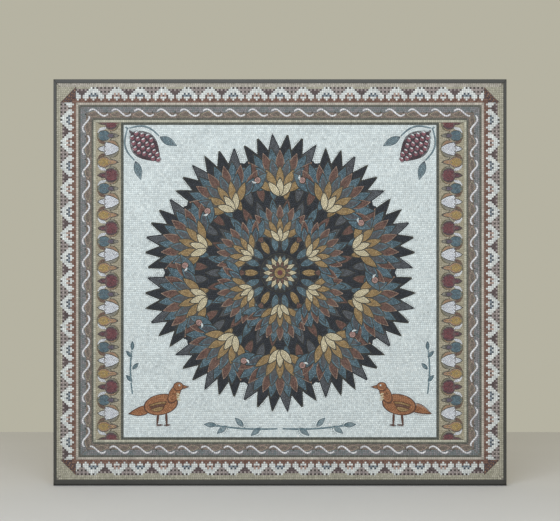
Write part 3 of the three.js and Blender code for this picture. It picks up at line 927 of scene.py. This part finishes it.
def stonePiece(node, materials):
    # a node's stones and their bedding as one mesh that stands for the CAD plate
    stones, quads, colours = stoneMesh(node)
    plate, triangles = beddingMesh(node)
    points = np.concatenate([stones, plate])
    loops = np.concatenate([quads.ravel(), (triangles + len(stones)).ravel()]).astype(np.int32)
    sizes = np.concatenate([np.full(len(quads), 4), np.full(len(triangles), 3)]).astype(np.int32)
    mesh = bpy.data.meshes.new(node + "_stones")
    mesh.vertices.add(len(points))
    mesh.vertices.foreach_set("co", (points * 0.001).astype(np.float32).ravel())
    mesh.loops.add(len(loops))
    mesh.loops.foreach_set("vertex_index", loops)
    mesh.polygons.add(len(sizes))
    mesh.polygons.foreach_set("loop_start", (np.cumsum(sizes) - sizes).astype(np.int32))
    mesh.polygons.foreach_set("loop_total", sizes)
    mesh.polygons.foreach_set("material_index", (sizes == 3).astype(np.int32))
    colour = mesh.attributes.new("stoneColour", "FLOAT_COLOR", "POINT")
    # the grout takes its stones' mean colour, darkened by groutShade as painted shade in the joints between
    # them
    grout = np.tile(stoneCut["groutShade"] * colours.mean(axis=0), (len(plate), 1))
    values = np.concatenate([np.concatenate([colours, grout]), np.ones((len(points), 1))], axis=1)
    colour.data.foreach_set("color", values.astype(np.float32).ravel())
    # stones take most of the map from the front, the grout a small part beside them
    flat = points[:, [0, 2]]
    low = flat.min(axis=0)
    flat = (flat - low) / np.max(flat.max(axis=0) - low)
    flat = np.where(np.arange(len(flat))[:, None] < len(stones), 0.005 + flat * 0.95, 0.965 + flat * 0.03)
    mesh.uv_layers.new(name="OFBake").uv.foreach_set("vector", flat[loops].astype(np.float32).ravel())
    mesh.update(calc_edges=True)
    piece = placed(node + "_stones", mesh)
    for material in materials:
        mesh.materials.append(material)
    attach(piece, "root")
    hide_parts(node)


def framePiece(node, material):
    # the rail's merged mesh with its arrises eased
    mesh = bpy.data.objects[node].data.copy()
    mesh.name = node + "_rail"
    work = bmesh.new()
    work.from_mesh(mesh)
    bmesh.ops.remove_doubles(work, verts=work.verts, dist=1e-5)
    bmesh.ops.dissolve_limit(work, angle_limit=0.01, verts=work.verts, edges=work.edges)
    work.to_mesh(mesh)
    work.free()
    piece = placed(node + "_rail", mesh)
    bevel = piece.modifiers.new("easedArris", "BEVEL")
    bevel.width = 0.0006
    bevel.segments = 2
    bevel.limit_method = "ANGLE"
    mesh.materials.clear()
    mesh.materials.append(material)
    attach(piece, "root")
    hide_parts(node)


def addNode(tree, kind, settings=None, links=None):
    # one node; settings go to its inputs or properties, and a link to an input is (node, output)
    node = tree.nodes.new(kind)
    for name, value in (settings or {}).items():
        if isinstance(name, int) or name in node.inputs:
            node.inputs[name].default_value = value
        else:
            setattr(node, name, value)
    for socket, (source, output) in (links or {}).items():
        tree.links.new(source.outputs[output], node.inputs[socket])
    return node


def newMaterial(name):
    # an empty principled material, its tree, its shader and the object's own coordinates
    material = bpy.data.materials.new(name)
    material.use_nodes = True
    tree = material.node_tree
    place = {"Vector": (addNode(tree, "ShaderNodeTexCoord"), "Object")}
    return material, tree, tree.nodes["Principled BSDF"], place


def shaded(tree, shader, links):
    # links of the shader's inputs, each (node, output)
    for socket, (source, output) in links.items():
        tree.links.new(source.outputs[output], shader.inputs[socket])


def rgba(text):
    # sRGB hex to a linear colour with full alpha
    return (*toLinear(text), 1)


def mixOf(first, second):
    # settings of a colour mix from one hex to the other
    return {"data_type": "RGBA", 6: rgba(first), 7: rgba(second)}


def tesseraStone():
    # honed natural stone: fine mineral mottling inside each stone, and a soft sheen
    material, tree, shader, place = newMaterial("honedLimestoneTesserae")
    colour = addNode(tree, "ShaderNodeAttribute", {"attribute_name": "stoneColour"})
    grain = addNode(tree, "ShaderNodeTexNoise", {"Scale": 420, "Detail": 3.0}, place)
    cloud = addNode(tree, "ShaderNodeTexNoise", {"Scale": 16, "Detail": 2.0}, place)
    spread = {"From Min": 0.3, "From Max": 0.7}  # most of the noise lies between these
    fine = addNode(tree, "ShaderNodeMapRange", {**spread, "To Min": 0.93, "To Max": 1.05},
                   {"Value": (grain, "Fac")})
    wide = addNode(tree, "ShaderNodeMapRange", {**spread, "To Min": 0.95, "To Max": 1.04},
                   {"Value": (cloud, "Fac")})
    both = addNode(tree, "ShaderNodeMath", {"operation": "MULTIPLY"}, {0: (fine, 0), 1: (wide, 0)})
    scaled = addNode(tree, "ShaderNodeVectorMath", {"operation": "SCALE"},
                     {0: (colour, "Color"), "Scale": (both, 0)})
    rough = addNode(tree, "ShaderNodeMapRange", {"To Min": 0.42, "To Max": 0.62}, {"Value": (grain, "Fac")})
    bump = addNode(tree, "ShaderNodeBump", {"Strength": 0.15, "Distance": 0.0002}, {"Height": (grain, "Fac")})
    shaded(tree, shader, {"Base Color": (scaled, 0), "Roughness": (rough, 0), "Normal": (bump, 0)})
    return material


def groutMortar(name, isTinted):
    # cement and fine sand: dull, gritty and uneven in tone; in the joints it takes its stones' tint, darkened
    # in the mesh colours as painted shade between the stones
    material, tree, shader, place = newMaterial(name)
    sand = addNode(tree, "ShaderNodeTexNoise", {"Scale": 900, "Detail": 2.0}, place)
    if isTinted:
        # the joints' mesh colour: the stones' tint with painted shade
        tint = addNode(tree, "ShaderNodeAttribute", {"attribute_name": "stoneColour"})
        shade = addNode(tree, "ShaderNodeMapRange", {"To Min": 0.8, "To Max": 1.2}, {"Value": (sand, "Fac")})
        scaled = addNode(tree, "ShaderNodeVectorMath", {"operation": "SCALE"},
                         {0: (tint, "Color"), "Scale": (shade, 0)})
        colour = (scaled, 0)
    else:
        colour = (addNode(tree, "ShaderNodeMix", mixOf("#77736a", "#a29d91"), {0: (sand, "Fac")}), 2)
    bump = addNode(tree, "ShaderNodeBump", {"Strength": 0.4, "Distance": 0.0003}, {"Height": (sand, "Fac")})
    shaded(tree, shader, {"Base Color": colour, "Normal": (bump, 0)})
    shader.inputs["Roughness"].default_value = 0.9
    return material


def coatedAluminium():
    # extruded aluminium with a bronze-grey powder coat: even colour, faint grain, low gloss
    material, tree, shader, place = newMaterial("powderCoatedAluminium")
    grain = addNode(tree, "ShaderNodeTexNoise", {"Scale": 700, "Detail": 2.0}, place)
    wear = addNode(tree, "ShaderNodeTexNoise", {"Scale": 6, "Detail": 3.0}, place)
    coat = addNode(tree, "ShaderNodeMix", mixOf("#33322f", "#41403c"), {0: (wear, "Fac")})
    rough = addNode(tree, "ShaderNodeMapRange", {"To Min": 0.4, "To Max": 0.55}, {"Value": (wear, "Fac")})
    bump = addNode(tree, "ShaderNodeBump", {"Strength": 0.1, "Distance": 0.0002}, {"Height": (grain, "Fac")})
    shaded(tree, shader, {"Base Color": (coat, 2), "Roughness": (rough, 0), "Normal": (bump, 0)})
    return material


def birchPlywood():
    # rotary-cut birch face: pale, with long wavy growth lines; drawn wider apart than real, to show
    material, tree, shader, place = newMaterial("birchPlywood")
    stretch = addNode(tree, "ShaderNodeMapping", {"Scale": (2.0, 1.0, 14.0)}, place)
    grainwise = {"Vector": (stretch, "Vector")}
    growth = addNode(tree, "ShaderNodeTexNoise", {"Scale": 3.5, "Detail": 6.0, "Distortion": 1.2}, grainwise)
    fibre = addNode(tree, "ShaderNodeTexNoise", {"Scale": 60, "Detail": 2.0}, grainwise)
    wood = addNode(tree, "ShaderNodeMix", mixOf("#b3946b", "#d2b88f"), {0: (growth, "Fac")})
    tint = addNode(tree, "ShaderNodeMix", {"data_type": "RGBA", "blend_type": "MULTIPLY", 0: 0.35},
                   {6: (wood, 2), 7: (fibre, "Fac")})
    bump = addNode(tree, "ShaderNodeBump", {"Strength": 0.2, "Distance": 0.0003}, {"Height": (fibre, "Fac")})
    shaded(tree, shader, {"Base Color": (tint, 2), "Normal": (bump, 0)})
    shader.inputs["Roughness"].default_value = 0.7
    return material


def paleFloor():
    # plain pale floor paint, matt
    material, tree, shader, place = newMaterial("paleFloorPaint")
    cloud = addNode(tree, "ShaderNodeTexNoise", {"Scale": 2.0}, place)
    paint = addNode(tree, "ShaderNodeMix", mixOf("#dddbdc", "#e3e1e2"), {0: (cloud, "Fac")})
    shaded(tree, shader, {"Base Color": (paint, 2)})
    shader.inputs["Roughness"].default_value = 0.75
    return material


studio = {
    "distance": 5.2,       # camera to the stone face, in metres
    "eyeHeight": 0.068,    # above the panel's middle
    "seenWidth": 1.731,    # width of the view at the stone face
    "sky": "#bab7a6",
    "skyStrength": 0.95,
    "keyPower": 103,
    "keyColour": (0.80, 0.87, 0.96),
    "floorBack": 1.6,      # metres from the wall side of the panel
    "keySize": 3.0,
    "keyPlace": (-0.35, -3.5, 1.6),
    "keyTurn": (65.5, 0, -5.7),  # in degrees
    "floorHalf": 4.0,      # metres to each side
    "sensor": 36,          # millimetres
}


def makeStage(material):
    # a floor just under the panel
    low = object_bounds()[0]
    half = studio["floorHalf"]
    mesh = bpy.data.meshes.new("floor")
    z = low[2] - 0.0005
    front, back = -half - 2, studio["floorBack"]
    corners = [(-half, front, z), (half, front, z), (half, back, z), (-half, back, z)]
    mesh.from_pydata(corners, [], [(0, 1, 2, 3)])
    floor = placed("floor", mesh)
    mesh.materials.append(material)
    floor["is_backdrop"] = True


def makeCamera():
    # lens = sensor * distance / seen width, straight in front
    data = bpy.data.cameras.new("camera")
    data.sensor_width = studio["sensor"]
    data.lens = studio["sensor"] * studio["distance"] / studio["seenWidth"]
    camera = placed("camera", data)
    camera.location = (0, -studio["distance"] - stoneCut["front"] * 0.001, studio["eyeHeight"])
    camera.rotation_euler = (math.pi / 2, 0, 0)
    bpy.context.scene.camera = camera


def makeLights():
    # an even sky and one large soft box
    world = bpy.data.worlds.new("studioAir")
    world.use_nodes = True
    world.node_tree.nodes["Background"].inputs[0].default_value = rgba(studio["sky"])
    world.node_tree.nodes["Background"].inputs[1].default_value = studio["skyStrength"]
    bpy.context.scene.world = world
    data = bpy.data.lights.new("softbox", "AREA")
    data.size = studio["keySize"]
    data.energy = studio["keyPower"]
    data.color = studio["keyColour"]
    light = placed("softbox", data)
    light.location = studio["keyPlace"]
    light.rotation_euler = [math.radians(angle) for angle in studio["keyTurn"]]
    bpy.context.scene.view_settings.view_transform = "Standard"


redBox = faceBox("red_line")
makeCamera()
makeLights()
layMargin(redBox)
layZigzag(redBox)
layCornerChecks(redBox)
layRing("outer_fillet")
layWaves()
layRing("inner_fillet")
layLotus("left", -1)
layLotus("right", 1)
layRing("dark_line")
print("borders drawn")
layPicture()
print("picture drawn")

stone = tesseraStone()
grout = groutMortar("rubbedJointGrout", True)
mortar = groutMortar("sandedCementMortar", False)
metal = coatedAluminium()
for node in stonesOf:
    stonePiece(node, (stone, grout))
print("stones laid:", sum(len(numbers) for parts in stonesOf.values() for _, numbers in parts))
for side in ("bottom", "top", "left", "right"):
    framePiece(f"frame_{side}", metal)
for node, material in (("backing_board", birchPlywood()), ("mortar_bed", mortar)):
    bpy.data.objects[node].data.materials.clear()
    bpy.data.objects[node].data.materials.append(material)
makeStage(paleFloor())
print("frame, back and floor finished")
